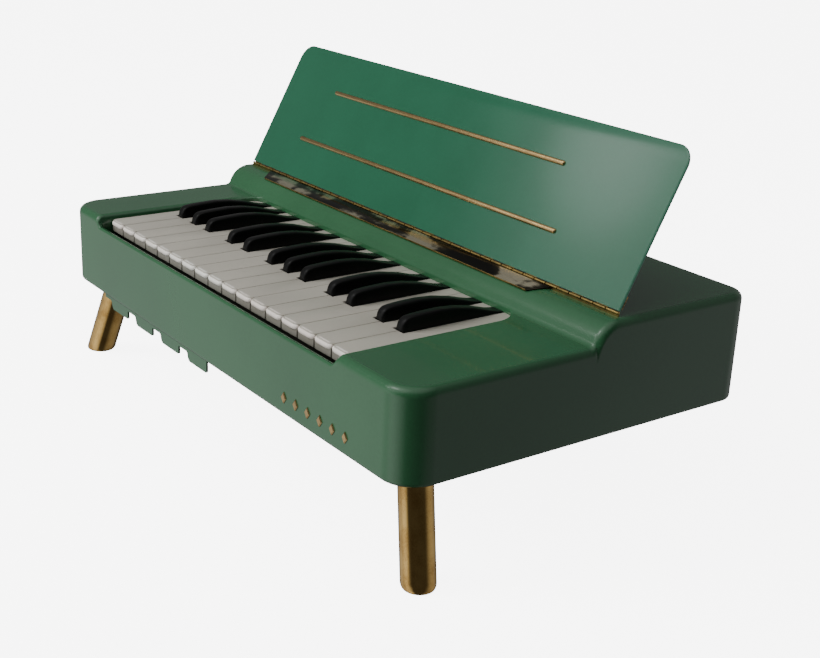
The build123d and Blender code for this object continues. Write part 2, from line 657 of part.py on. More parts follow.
# row of plain brass studs on the front face
stud_pitch = 14.3
with BuildPart() as front_trim:
    with BuildSketch(Plane.XZ.offset(-front)) as row:
        for k in range(6):
            x = right - 132.0 + k * stud_pitch
            z = base + 13.1
            with BuildLine():
                Polyline((x - 3.0, z), (x, z + 4.0), (x + 3.0, z), (x, z - 4.0), close=True)
            make_face()
    extrude(amount=1.0)
save(front_trim, "front_trim")
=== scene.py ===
"""Looks of a small table-top electric reed organ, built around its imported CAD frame.

The scene is in metres and the sizes below in millimetres, both in the frame's own axes: +X to the
player's right, +Y away from the player, +Z up."""

import math

import bmesh
import bpy
import numpy as np
from mathutils import Matrix, Vector


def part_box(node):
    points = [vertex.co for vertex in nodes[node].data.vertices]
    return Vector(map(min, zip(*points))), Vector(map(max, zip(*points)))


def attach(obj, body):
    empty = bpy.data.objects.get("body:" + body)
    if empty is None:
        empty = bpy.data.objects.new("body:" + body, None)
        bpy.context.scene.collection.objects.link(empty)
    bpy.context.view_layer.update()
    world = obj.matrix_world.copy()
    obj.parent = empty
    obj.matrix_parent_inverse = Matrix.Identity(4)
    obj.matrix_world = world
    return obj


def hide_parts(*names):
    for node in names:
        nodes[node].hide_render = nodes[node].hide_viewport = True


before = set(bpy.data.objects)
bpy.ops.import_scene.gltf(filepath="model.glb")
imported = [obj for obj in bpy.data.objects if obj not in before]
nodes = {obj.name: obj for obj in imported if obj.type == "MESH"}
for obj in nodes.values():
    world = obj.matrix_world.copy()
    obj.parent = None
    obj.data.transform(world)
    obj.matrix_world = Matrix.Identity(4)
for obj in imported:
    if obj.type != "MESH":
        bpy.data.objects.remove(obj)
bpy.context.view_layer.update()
MM = 0.001


# ---- camera --------------------------------------------------------------------------------------
def set_camera(place, aim, roll, lens):
    """Makes the scene's camera, at place, looking at aim, turned by roll about its own axis."""
    data = bpy.data.cameras.new("camera")
    data.sensor_width = 36.0
    data.lens = lens
    data.clip_end = 50
    camera = bpy.data.objects.new("camera", data)
    bpy.context.collection.objects.link(camera)
    ahead = (aim - place).normalized()
    flat_right = ahead.cross(Vector((0, 0, 1))).normalized()
    flat_up = flat_right.cross(ahead)
    right = flat_right * math.cos(roll) + flat_up * math.sin(roll)
    up = flat_up * math.cos(roll) - flat_right * math.sin(roll)
    camera.matrix_world = Matrix((
        (right.x, up.x, -ahead.x, place.x),
        (right.y, up.y, -ahead.y, place.y),
        (right.z, up.z, -ahead.z, place.z),
        (0, 0, 0, 1)))
    bpy.context.scene.camera = camera


set_camera(Vector((0.7915, -0.5576, 0.4221)), Vector((0.1140, -0.0513, 0.1145)), math.radians(2.578), 59.069)


# ---- materials -----------------------------------------------------------------------------------
NOISE_SHIFT = (0.5371, 0.4113, 0.3719)    # keeps the noise's own zero planes off the object
NOISE_TURN = (0.41, 0.27, 0.58)           # and its lattice off the object's axes


def material(name):
    """A new node material with its Principled shader, ready to wire."""
    mat = bpy.data.materials.new(name)
    mat.use_nodes = True
    shader = mat.node_tree.nodes["Principled BSDF"]
    return mat, mat.node_tree, shader


def coords(tree, turn=(0, 0, 0)):
    """Object coordinates, in metres, shifted and turned for the noises."""
    shift = tree.nodes.new("ShaderNodeMapping")
    shift.inputs["Location"].default_value = NOISE_SHIFT
    shift.inputs["Rotation"].default_value = turn
    tree.links.new(tree.nodes.new("ShaderNodeTexCoord").outputs["Object"], shift.inputs["Vector"])
    return shift.outputs["Vector"]


def noise(tree, where, scale, detail=3.0, rough=0.5, stretch=None):
    """Noise over the object, with an optional stretch along its axes."""
    if stretch:
        mapping = tree.nodes.new("ShaderNodeMapping")
        mapping.inputs["Scale"].default_value = stretch
        tree.links.new(where, mapping.inputs["Vector"])
        where = mapping.outputs["Vector"]
    node = tree.nodes.new("ShaderNodeTexNoise")
    node.inputs["Scale"].default_value = scale
    node.inputs["Detail"].default_value = detail
    node.inputs["Roughness"].default_value = rough
    tree.links.new(where, node.inputs["Vector"])
    return node.outputs["Fac"]


def ramp(tree, fac, stops):
    """A colour ramp: stops are (place, colour)."""
    node = tree.nodes.new("ShaderNodeValToRGB")
    while len(node.color_ramp.elements) < len(stops):
        node.color_ramp.elements.new(0.5)
    for element, (place, colour) in zip(node.color_ramp.elements, stops):
        element.position = place
        element.color = (*colour, 1)
    tree.links.new(fac, node.inputs["Fac"])
    return node.outputs["Color"]


def spread(tree, fac, low, high, start=0.35, end=0.65):
    """Maps a noise between start and end to low..high."""
    node = tree.nodes.new("ShaderNodeMapRange")
    for key, value in (("From Min", start), ("From Max", end), ("To Min", low), ("To Max", high)):
        node.inputs[key].default_value = value
    tree.links.new(fac, node.inputs["Value"])
    return node.outputs["Result"]


def maths(tree, op, a, b):
    """One maths node; a and b are sockets or numbers."""
    node = tree.nodes.new("ShaderNodeMath")
    node.operation = op
    for socket, value in zip(node.inputs, (a, b)):
        if isinstance(value, (int, float)):
            socket.default_value = value
        else:
            tree.links.new(value, socket)
    return node.outputs["Value"]


def shares(tree, a, b, share_b):
    """Two noises added up, b with its share and a with the rest."""
    return maths(tree, "ADD", maths(tree, "MULTIPLY", a, 1 - share_b), maths(tree, "MULTIPLY", b, share_b))


def bump(tree, shader, height, strength, distance):
    """Adds a bump to the shader, after any bump already there."""
    node = tree.nodes.new("ShaderNodeBump")
    node.inputs["Strength"].default_value = strength
    node.inputs["Distance"].default_value = distance
    tree.links.new(height, node.inputs["Height"])
    if shader.inputs["Normal"].is_linked:
        tree.links.new(shader.inputs["Normal"].links[0].from_socket, node.inputs["Normal"])
    tree.links.new(node.outputs["Normal"], shader.inputs["Normal"])


def moulded_plastic(name, colour, tint, rough, coat, ripple=0.00006, grain=0.18, scuff=0.03, specular=0.5):
    """Glossy moulded plastic: cloudy colour, faint ripple, fine scratches and dust in its gloss."""
    mat, tree, shader = material(name)
    where = coords(tree, NOISE_TURN)
    cloud = noise(tree, where, 9.0, 4.0, 0.55)
    fleck = noise(tree, where, 420.0, 2.0, 0.6)
    mottle = shares(tree, cloud, fleck, 0.2)
    tree.links.new(ramp(tree, mottle, ((0.36, tint), (0.62, colour))), shader.inputs["Base Color"])
    scratch = noise(tree, where, 60.0, 3.0, 0.7, (1.0, 14.0, 14.0))
    wear = maths(tree, "ADD", spread(tree, cloud, 0.0, 0.05), spread(tree, scratch, 0.0, scuff, 0.5, 0.8))
    tree.links.new(maths(tree, "ADD", wear, rough), shader.inputs["Roughness"])
    bump(tree, shader, noise(tree, where, 34.0, 2.0, 0.5), 0.5, ripple)
    bump(tree, shader, noise(tree, where, 900.0, 2.0, 0.5), grain, 0.000006)
    shader.inputs["IOR"].default_value = 1.5
    shader.inputs["Specular IOR Level"].default_value = specular
    shader.inputs["Coat Weight"].default_value = coat
    shader.inputs["Coat Roughness"].default_value = 0.05
    return mat


def key_plastic(name, colour, tint, rough, coat=0.0, ripple=0.000008, specular=0.4):
    """The smoother plastic of the white keys."""
    return moulded_plastic(name, colour, tint, rough, coat, ripple, 0.2, 0.008, specular)


def metal(name, colour, dark, rough, tarnish=0.5, brushed=(1, 1, 1)):
    """Metal with tarnish clouds, drawing lines and small pits."""
    mat, tree, shader = material(name)
    where = coords(tree)
    cloud = noise(tree, where, 55.0, 5.0, 0.6)
    line = noise(tree, where, 260.0, 3.0, 0.6, brushed)
    stops = ((0.5 - 0.25 * tarnish, dark), (0.56, colour))
    tree.links.new(ramp(tree, shares(tree, cloud, line, 0.4), stops), shader.inputs["Base Color"])
    tree.links.new(maths(tree, "ADD", spread(tree, cloud, 0.12, 0.0), rough), shader.inputs["Roughness"])
    bump(tree, shader, line, 0.35, 0.00001)
    shader.inputs["Metallic"].default_value = 1.0
    return mat


def mirror(name):
    """Dark polished sheet metal, its colour painted with reflections: broad dark patches with pale brighter
    ones between.
    """
    mat, tree, shader = material(name)
    where = coords(tree)
    patch = noise(tree, where, 21.0, 3.0, 0.6, (1.0, 1.6, 1.6))
    fine = noise(tree, where, 240.0, 3.0, 0.6, (1, 12, 12))
    stops = ((0.46, (0.022, 0.021, 0.016)), (0.53, (0.07, 0.062, 0.040)), (0.58, (0.85, 0.78, 0.56)))
    tree.links.new(ramp(tree, shares(tree, patch, fine, 0.12), stops), shader.inputs["Base Color"])
    tree.links.new(spread(tree, patch, 0.05, 0.16), shader.inputs["Roughness"])
    bump(tree, shader, patch, 0.4, 0.0001)
    bump(tree, shader, fine, 0.3, 0.00001)
    shader.inputs["Metallic"].default_value = 1.0
    return mat


def board(name, light, dark, stretch, scale=60.0, rough=0.7):
    """Wood, felt or pressed fibre."""
    mat, tree, shader = material(name)
    where = coords(tree)
    grain = noise(tree, where, scale, 5.0, 0.65, stretch)
    tree.links.new(ramp(tree, grain, ((0.35, dark), (0.65, light))), shader.inputs["Base Color"])
    tree.links.new(spread(tree, grain, rough - 0.1, rough + 0.1), shader.inputs["Roughness"])
    bump(tree, shader, grain, 0.5, 0.0001)
    return mat


green = moulded_plastic("green_case", (0.026, 0.105, 0.044), (0.021, 0.090, 0.037), 0.20, 0.25)
green_lid = moulded_plastic("green_rest", (0.012, 0.105, 0.052), (0.010, 0.090, 0.044), 0.17, 0.3)
# The paler green of the rest's rim is a painted highlight along its edges, not a colour of its own.
rest_rim_painted_highlight = moulded_plastic("green_rest_edge_painted_highlight", (0.095, 0.27, 0.18), (0.06, 0.20, 0.13), 0.14, 0.4)
ivory = key_plastic("key_white", (0.46, 0.435, 0.375), (0.42, 0.395, 0.34), 0.30)
# The bead's paler ivory is a painted highlight, and the apron's darker ivory is painted shade, on the same
# plastic as the key.
ivory_lip_painted_highlight = key_plastic("key_white_lip_painted_highlight", (0.80, 0.78, 0.72), (0.74, 0.66, 0.60), 0.20, 0.3, 0.00001, 0.5)
ivory_apron_painted_shade = key_plastic("key_white_apron_painted_shade", (0.24, 0.23, 0.20), (0.20, 0.19, 0.16), 0.35)
ebony = moulded_plastic("key_black", (0.003, 0.003, 0.003), (0.005, 0.005, 0.005), 0.27, 0.0,
                        ripple=0.00001, grain=0.3, scuff=0.01, specular=0.18)
brass = metal("brass_polished", (0.72, 0.47, 0.16), (0.44, 0.25, 0.07), 0.07, 0.5, (12, 12, 1))
brass_strip = metal("brass_strip", (0.66, 0.46, 0.21), (0.36, 0.23, 0.10), 0.22, 0.7, (1, 14, 14))
# Its tarnish clouds are the brass's own, and its overall darker colour is painted shade along the hinge.
brass_hinge_darkened_for_shade = metal("hinge_brass_darkened_for_shade", (0.50, 0.35, 0.12), (0.16, 0.11, 0.05), 0.22, 0.8)
brass_dull = metal("brass_dull", (0.50, 0.38, 0.18), (0.22, 0.16, 0.08), 0.32, 0.8)
# The ledge's dark and pale patches are painted reflections.
ledge_brass = mirror("ledge_brass")
steel = metal("zinc_steel", (0.52, 0.53, 0.54), (0.30, 0.31, 0.32), 0.30, 0.6)
black_matt = moulded_plastic("black_moulded", (0.020, 0.020, 0.021), (0.028, 0.028, 0.029), 0.42, 0.0,
                             ripple=0.00002, grain=0.9)
rubber = moulded_plastic("rubber_hose", (0.035, 0.034, 0.033), (0.055, 0.053, 0.05), 0.6, 0.0,
                         ripple=0.0001, grain=1.0)
fibre = board("fibre_board", (0.26, 0.17, 0.09), (0.15, 0.10, 0.055), (1, 1, 1), 240.0, 0.75)
pine = board("pine", (0.60, 0.44, 0.25), (0.44, 0.29, 0.14), (1, 9, 9), 30.0, 0.6)
stained_pine = board("stained_pine", (0.030, 0.026, 0.022), (0.016, 0.013, 0.011), (1, 9, 9), 30.0, 0.6)
felt = board("dark_felt", (0.030, 0.045, 0.034), (0.016, 0.026, 0.019), (1, 1, 1), 900.0, 0.95)


# ---- mesh tools ----------------------------------------------------------------------------------
def grid_lines(start, *stretches):
    """Coordinates from start on, with the given spacing in each (to, spacing) stretch."""
    lines = [start]
    for end, gap in stretches:
        count = max(1, round((end - lines[-1]) / gap))
        lines.extend(np.linspace(lines[-1], end, count + 1)[1:])
    return np.array(lines)


CORNERS = [(i, j, k) for i in (0, 1) for j in (0, 1) for k in (0, 1)]


def mixed_cells(inside):
    """Indices of the grid cells that have corners both inside and outside."""
    nx, ny, nz = (n - 1 for n in inside.shape)
    count = sum(inside[i:i + nx, j:j + ny, k:k + nz].astype(np.int8) for i, j, k in CORNERS)
    return np.argwhere((count > 0) & (count < len(CORNERS)))


def crossing_means(values, cells, axes):
    """For each cell, the mean of the points where its edges cross the surface."""
    total = np.zeros((len(cells), 3))
    number = np.zeros(len(cells))
    for corner in CORNERS:
        for axis in range(3):
            if corner[axis]:
                continue
            far = list(corner)
            far[axis] = 1
            a_at, b_at = cells + corner, cells + far
            a, b = values[tuple(a_at.T)], values[tuple(b_at.T)]
            cross = (a < 0) != (b < 0)
            share = np.where(cross, a / np.where(cross, a - b, 1), 0)
            for d in range(3):
                low, high = axes[d][a_at[:, d]], axes[d][b_at[:, d]]
                total[:, d] += np.where(cross, low + share * (high - low), 0)
            number += cross
    return total / number[:, None]


def gradient(field, points, reach):
    """Slope of the field at the points, over reach millimetres each way."""
    ahead = [field(*(points + reach * step).T) for step in np.eye(3)]
    behind = [field(*(points - reach * step).T) for step in np.eye(3)]
    return np.stack([a - b for a, b in zip(ahead, behind)], 1) / (2 * reach)


def drawn_onto(field, points, cells, axes, rounds=6, slack=0.15):
    """The points drawn onto the surface, each staying within slack of its own cell."""
    low = np.stack([axes[d][cells[:, d]] for d in range(3)], 1)
    size = np.stack([axes[d][cells[:, d] + 1] for d in range(3)], 1) - low
    for _ in range(rounds):
        slope = gradient(field, points, 0.05)
        steep = np.maximum((slope * slope).sum(1), 0.25)
        points = points - (field(*points.T) / steep)[:, None] * slope
        points = np.clip(points, low - slack * size, low + (1 + slack) * size)
    return points


def net_faces(inside, cells):
    """Quads between the cells' points, one round each grid edge that crosses the surface."""
    shape = [n - 1 for n in inside.shape]
    point_of = -np.ones(shape, dtype=np.int64)
    point_of[tuple(cells.T)] = np.arange(len(cells))
    faces = []
    for axis in range(3):
        others = [d for d in range(3) if d != axis]
        low_cut, high_cut = [slice(None)] * 3, [slice(None)] * 3
        low_cut[axis], high_cut[axis] = slice(0, -1), slice(1, None)
        edges = np.argwhere(inside[tuple(low_cut)] != inside[tuple(high_cut)])
        edges = edges[np.all([(edges[:, d] > 0) & (edges[:, d] < shape[d]) for d in others], axis=0)]
        ring = []
        for da, db in ((-1, -1), (0, -1), (0, 0), (-1, 0)):
            cell = edges.copy()
            cell[:, others[0]] += da
            cell[:, others[1]] += db
            ring.append(point_of[tuple(cell.T)])
        quads = np.stack(ring, 1)
        starts_inside = inside[tuple(edges.T)]
        keep = ~starts_inside if axis == 1 else starts_inside
        quads[~keep] = quads[~keep][:, ::-1]
        faces.append(quads)
    return np.concatenate(faces)


def net_surface(field, xs, ys, zs):
    """Surface net of the field's zero level on an uneven grid: points, normals and faces."""
    axes = (xs, ys, zs)
    values = field(*np.meshgrid(xs, ys, zs, indexing="ij"))
    inside = values < 0
    cells = mixed_cells(inside)
    points = drawn_onto(field, crossing_means(values, cells, axes), cells, axes)
    normals = gradient(field, points, 0.12)
    normals /= np.maximum(np.linalg.norm(normals, axis=1), 1e-6)[:, None]
    return points, normals, net_faces(inside, cells)


def mesh_piece(name, points, faces, body, mat, replaced=(), normals=None, smooth=True):
    """A mesh object in metres from millimetre points, riding on its body."""
    mesh = bpy.data.meshes.new(name)
    mesh.from_pydata((np.asarray(points) * MM).tolist(), [], [list(map(int, f)) for f in faces])
    mesh.polygons.foreach_set("use_smooth", [smooth] * len(mesh.polygons))
    if normals is not None:
        mesh.normals_split_custom_set_from_vertices([tuple(n) for n in normals])
    mesh.materials.append(mat)
    obj = bpy.data.objects.new(name, mesh)
    bpy.context.collection.objects.link(obj)
    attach(obj, body)
    if replaced:
        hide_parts(*replaced)
    return obj


def soften(bm, edges, width, segments=3):
    """Rounds the given edges."""
    bmesh.ops.bevel(bm, geom=edges, offset=width, offset_type="OFFSET", segments=segments, profile=0.5,
                    affect="EDGES", clamp_overlap=True)


def prism(outline, low, high):
    """A bmesh of an upright prism on a plan outline, counter-clockwise seen from above."""
    bm = bmesh.new()
    bottom = [bm.verts.new((x, y, low)) for x, y in outline]
    top = [bm.verts.new((x, y, high)) for x, y in outline]
    bm.faces.new(bottom[::-1])
    bm.faces.new(top)
    for i in range(len(outline)):
        j = (i + 1) % len(outline)
        bm.faces.new((bottom[i], bottom[j], top[j], top[i]))
    return bm


def block(x0, y0, x1, y1, low, high):
    """A bmesh of a box between two plan corners and two heights."""
    return prism([(x0, y0), (x1, y0), (x1, y1), (x0, y1)], low, high)


def long_edges(bm, least=9):
    """Edges that run more than least millimetres along X."""
    return [e for e in bm.edges if abs(e.verts[0].co.x - e.verts[1].co.x) > least]


def upright_edges(bm, least):
    """Edges that rise more than least millimetres."""
    return [e for e in bm.edges if abs(e.verts[0].co.z - e.verts[1].co.z) > least]


def take(bm, points, faces):
    """Moves a bmesh's geometry into running lists of points and faces."""
    base = len(points)
    bm.verts.index_update()
    points.extend(tuple(v.co) for v in bm.verts)
    faces.extend([base + v.index for v in f.verts] for f in bm.faces)
    bm.free()


def sleeve(base, rings, sides, faces):
    """Adds the quads of a tube of rings of points that start at index base, one ring after another."""
    for k in range(rings - 1):
        for m in range(sides):
            a, b = base + k * sides + m, base + k * sides + (m + 1) % sides
            faces.append((a, a + sides, b + sides, b))


def end_caps(base, rings, sides, faces):
    """Closes both ends of such a tube."""
    faces.append([base + m for m in range(sides)])
    faces.append([base + (rings - 1) * sides + m for m in range(sides)][::-1])


def sharpen(obj, degrees=35):
    """Keeps edges steeper than this crisp, in the mesh itself."""
    bm = bmesh.new()
    bm.from_mesh(obj.data)
    for edge in bm.edges:
        edge.smooth = len(edge.link_faces) == 2 and edge.calc_face_angle(0) < math.radians(degrees)
    bm.to_mesh(obj.data)
    bm.free()


# ---- sizes of the case in millimetres, its box taken from the frame ------------------------------
case_low, case_high = (np.array(corner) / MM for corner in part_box("case_top"))
HALF_X, HALF_Y = (case_high[0] - case_low[0]) / 2, (case_high[1] - case_low[1]) / 2
FRONT, BASE = case_low[1], case_low[2]
DECK, REAR_DECK = 62.7, case_high[2] - BASE                  # heights above the underside
EDGE_R, FRONT_R, REAR_R, WALL = 5.7, 22.7, 15.6, 3.0
UNDER_R = 3.2                                                # edge round the underside
STEP_Y, FOOT_R, TOP_R, STEP_SLOPE = FRONT + 141.9, 5.0, 19.0, math.radians(65)

WELL_X0, WELL_X1, WELL_Y1, WELL_R = -183.4, 161.6, FRONT + 145.0, 12
WELL_MID, WELL_HALF = (WELL_X1 + WELL_X0) / 2, (WELL_X1 - WELL_X0) / 2
WALL_TOP, WALL_Y, WALL_R = 54.8, FRONT + 4.2, 2.1            # low wall in front of the keys
NOTCH_R = 4.5                                                # where that wall meets the cheeks
RIM_LOW, RIM_DECK, RIM_REAR = 2.3, 5.5, 0.9                  # rounding of the opening's rim
CHEEK, CHEEK_LOW = 7, 47                                     # thickness and lower edge of its walls

# strut pocket, and the pad of plastic under and round it
POCKET_Y, POCKET_HALF_X, POCKET_HALF_Y, POCKET_FLOOR = 102.4, 8, 30.6, 75.5
PAD_HALF_X, PAD_HALF_Y, PAD_MID, PAD_HALF = 10, 33, 74.5, 2.4
INLET_X, SWITCH_X, SOCKET_Z, BACK_CUT = 150, 110, 28, 120    # openings in the back wall
INLET_HALF, SWITCH_HALF = (20.4, 12.4), (7.4, 11.4)
CUT_R = 0.35                                                 # edges of all the small openings

# ledge, from its rear edge, the seat cut for it, and the hinge of the rest behind it
LEDGE_Y, LEDGE_Z, LEDGE_TILT = FRONT + 166.5, 80.0, math.radians(13.3)
LEDGE_X0, LEDGE_X1, LEDGE_DEEP, LEDGE_CUT = -197.3, 167.8, 13.05, 10.5
LEDGE_COS, LEDGE_SIN = math.cos(LEDGE_TILT), math.sin(LEDGE_TILT)
SEAT_GAP, SEAT_DEEP, SEAT_BACK, SEAT_FRONT = 0.35, 1.1, 1.4, 13.5
HINGE_Y, HINGE_Z, LEAN = FRONT + 168.3, BASE + 80.2, math.radians(61.7)


# ---- moulded case --------------------------------------------------------------------------------
def both_round(a, b, r):
    """Distance to where a and b overlap, with the edge between them rounded by r."""
    return np.minimum(-r, np.maximum(a, b)) + np.hypot(np.maximum(a + r, 0), np.maximum(b + r, 0))


def either_round(a, b, r):
    """Distance to a and b together, with the inner corner between them filled by r."""
    return np.maximum(r, np.minimum(a, b)) - np.hypot(np.maximum(r - a, 0), np.maximum(r - b, 0))


def both(*fields):
    """Distance to where all the fields overlap, with sharp edges."""
    return np.maximum.reduce(fields)


def either(*fields):
    """Distance to all the fields together."""
    return np.minimum.reduce(fields)


def step_profile():
    """Height of the decks along Y, as samples of the foot, slope and shoulder of the step."""
    turn = np.linspace(0, STEP_SLOPE, 24)
    foot_y = STEP_Y + FOOT_R * np.sin(turn)
    foot_z = DECK + FOOT_R * (1 - np.cos(turn))
    slope_top = REAR_DECK - TOP_R * (1 - math.cos(STEP_SLOPE))
    slope_end = foot_y[-1] + (slope_top - foot_z[-1]) / math.tan(STEP_SLOPE)
    back = turn[::-1]
    top_y = slope_end + TOP_R * (math.sin(STEP_SLOPE) - np.sin(back))
    top_z = REAR_DECK - TOP_R * (1 - np.cos(back))
    far = 400
    return (np.concatenate(([-far], foot_y, top_y, [far])),
            np.concatenate(([DECK], foot_z, top_z, [REAR_DECK])))


STEP_YS, STEP_ZS = step_profile()


def case_form(x, y, h):
    """The outside of the case as if it were solid, h being the height above its underside."""
    outline = both_round(np.abs(x) - HALF_X, np.abs(y) - HALF_Y, np.where(y < 0, FRONT_R, REAR_R))
    reach = 0.1
    height, ahead, behind = (np.interp(y + dy, STEP_YS, STEP_ZS) for dy in (0, reach, -reach))
    slope = (ahead - behind) / (2 * reach)
    return both_round(outline, (h - height) / np.sqrt(1 + slope * slope), EDGE_R)


def small_openings(x, y, h):
    """Seat of the ledge, strut pocket, and holes for the inlet and the switch."""
    along = (y - LEDGE_Y) * LEDGE_COS + (h - LEDGE_Z) * LEDGE_SIN
    above = -(y - LEDGE_Y) * LEDGE_SIN + (h - LEDGE_Z) * LEDGE_COS
    past_end = np.abs(x - (LEDGE_X0 + LEDGE_X1) / 2) - (LEDGE_X1 - LEDGE_X0) / 2 - SEAT_GAP
    seat = both(past_end, -above - SEAT_DEEP, along - SEAT_BACK, -SEAT_FRONT - along)
    pocket = both(np.abs(x) - POCKET_HALF_X, np.abs(y - POCKET_Y) - POCKET_HALF_Y, POCKET_FLOOR - h)
    inlet = both(np.abs(x - INLET_X) - INLET_HALF[0], np.abs(h - SOCKET_Z) - INLET_HALF[1], BACK_CUT - y)
    switch = both(np.abs(x - SWITCH_X) - SWITCH_HALF[0], np.abs(h - SOCKET_Z) - SWITCH_HALF[1], BACK_CUT - y)
    return either(seat, pocket, inlet, switch)


def case_field(x, y, z):
    """Signed distance, roughly, to the moulded case; negative inside the plastic."""
    h = z - BASE
    form = case_form(x, y, h)
    # keyboard opening: the deep well, and a notch over the low wall in front of it
    beside = np.abs(x - WELL_MID) - WELL_HALF
    plan = both_round(beside, y - WELL_Y1, WELL_R)
    opening = both_round(plan, either_round(WALL_TOP - h, WALL_Y - y, WALL_R), NOTCH_R)
    # its rim is softer at the decks than lower down, and crisp along the foot of the step
    at_deck = np.clip((h - 56.5) / 4, 0, 1)
    at_step = np.clip((y - WELL_Y1 + 16) / 12, 0, 1)
    rim = RIM_LOW + at_deck * (RIM_DECK - RIM_LOW - (RIM_DECK - RIM_REAR) * at_step)
    # shell, with walls round the opening and a pad under the pocket
    shell = both(both_round(form, -h, UNDER_R), -(form + WALL))
    cheeks = both(plan - CHEEK, -plan, CHEEK_LOW - h)
    front_wall = both(beside - CHEEK, FRONT + 1 - y, y - WALL_Y, 5 - h)
    pad = both(np.abs(x) - PAD_HALF_X, np.abs(y - POCKET_Y) - PAD_HALF_Y, np.abs(h - PAD_MID) - PAD_HALF)
    solid = either(shell, both(either(cheeks, front_wall), form), both(pad, form))
    solid = both(both_round(solid, -opening, rim), -h)
    return both_round(solid, -small_openings(x, y, h), CUT_R)


def make_case():
    """The case as one smooth skin, on a grid that is fine where the case has edges."""
    xs = grid_lines(-HALF_X - 1.5, (-208, 1.5), (-190, 3), (-168, 1.4), (-12, 4.1), (-6, 1), (6, 4), (12, 1),
                    (100, 4.1), (121, 1.5), (128, 3.5), (134, 1.5), (146, 4), (176, 1.5), (208, 3),
                    (HALF_X + 1.5, 1.5))
    ys = grid_lines(FRONT - 1.5, (FRONT + 28, 1.25), (-14, 8), (28, 1.2), (68, 8), (76, 1.3), (124, 8),
                    (HALF_Y + 1.5, 1.4))
    zs = grid_lines(BASE - 1.3, (BASE + 6, 1.3), (BASE + 14, 2), (BASE + 42, 1.9),
                    (REAR_DECK + BASE + 1.3, 1.1))
    points, normals, faces = net_surface(case_field, xs, ys, zs)
    mesh_piece("case_skin", points, faces, "case", green, ("case_top",), normals)


def make_pocket_ribs():
    """Two low ribs at the front end of the strut pocket."""
    points, faces = [], []
    for x in (-8.0, 4.4):
        bm = block(x, 71.6, x + 3.6, 75.0, BASE + 74.5, BASE + 76.2)
        soften(bm, list(bm.edges), 0.3, 2)
        take(bm, points, faces)
    mesh_piece("pocket_ribs", points, faces, "case", green, smooth=False)


make_case()
make_pocket_ribs()


# ---- keys ----------------------------------------------------------------------------------------
NOTES = "FGABCDEFGABCDEFGA"
SHIFT = {"F": -2.6, "G": 0.0, "A": 2.6, "C": -2.0, "D": 2.0}      # of the black key after each note
KEYS_X0, PITCH, KEY_GAP = -182.6, 20.2, 0.6
WHITE_Z, KEY_LOW, SKIRT_LOW = BASE + 59.2, BASE + 52.7, BASE + 50.0
LIP_Y, NOSE_Y, SHARP_HALF = FRONT + 10.5, FRONT + 63.2, 5.6
NECK_Y, TOP_Y1, TAIL_Y1, TAIL_Z = NOSE_Y - 0.8, 52.5, 92.7, WHITE_Z - 2.05
BEAD, BEAD_DEEP, BEAD_END, BEAD_SIDES = 2.6, 2.9, 5.2, 18
sharp_x = {i: KEYS_X0 + PITCH * (i + 1) + SHIFT[n] for i, n in enumerate(NOTES[:-1]) if n in SHIFT}


def key_plate(x0, x1, n0, n1):
    """A white key's playing surface from x0 to x1, with its neck from n0 to n1 between black keys."""
    front_y, low = LIP_Y + 1.0, WHITE_Z - 3.5
    outline = [(x0, front_y), (x1, front_y), (x1, NECK_Y)]
    if n1 != x1:
        outline.append((n1, NECK_Y))
    outline += [(n1, TOP_Y1), (n0, TOP_Y1)]
    if n0 != x0:
        outline.append((n0, NECK_Y))
    outline.append((x0, NECK_Y))
    bm = prism(outline, low, WHITE_Z)
    soften(bm, [e for e in upright_edges(bm, 1) if e.verts[0].co.y < front_y + 0.1], 4.6, 7)
    at_lip = [e for e in bm.edges if all(v.co.y < front_y + 3.7 for v in e.verts)]
    nose = [e for e in at_lip if all(v.co.z > WHITE_Z - 0.01 for v in e.verts)]
    nose += [e for e in at_lip if all(v.co.z < low + 0.1 for v in e.verts)]
    soften(bm, nose, 1.6, 5)
    top = [e for e in bm.edges if len(e.link_faces) == 2 and all(v.co.z > WHITE_Z - 0.01 for v in e.verts)]
    soften(bm, [e for e in top if e.calc_face_angle(0) > 0.9], 1.0)
    return bm


def add_bead(x0, x1, points, faces):
    """The bead along a white key's lip, round at both ends."""
    base = len(points)
    runs = [(x0 + 0.1 + BEAD_END * (1 - math.cos(a)), math.sin(a)) for a in np.linspace(0.1, math.pi / 2, 9)]
    runs += [(x0 + x1 - x, share) for x, share in runs[::-1]]
    for x, share in runs:
        for a in np.linspace(0, 2 * math.pi, BEAD_SIDES, endpoint=False):
            points.append((x, LIP_Y + 0.05 + BEAD_DEEP + BEAD_DEEP * share * math.cos(a),
                           WHITE_Z + 0.2 - BEAD + BEAD * share ** 0.7 * math.sin(a)))
    sleeve(base, len(runs), BEAD_SIDES, faces)
    end_caps(base, len(runs), BEAD_SIDES, faces)


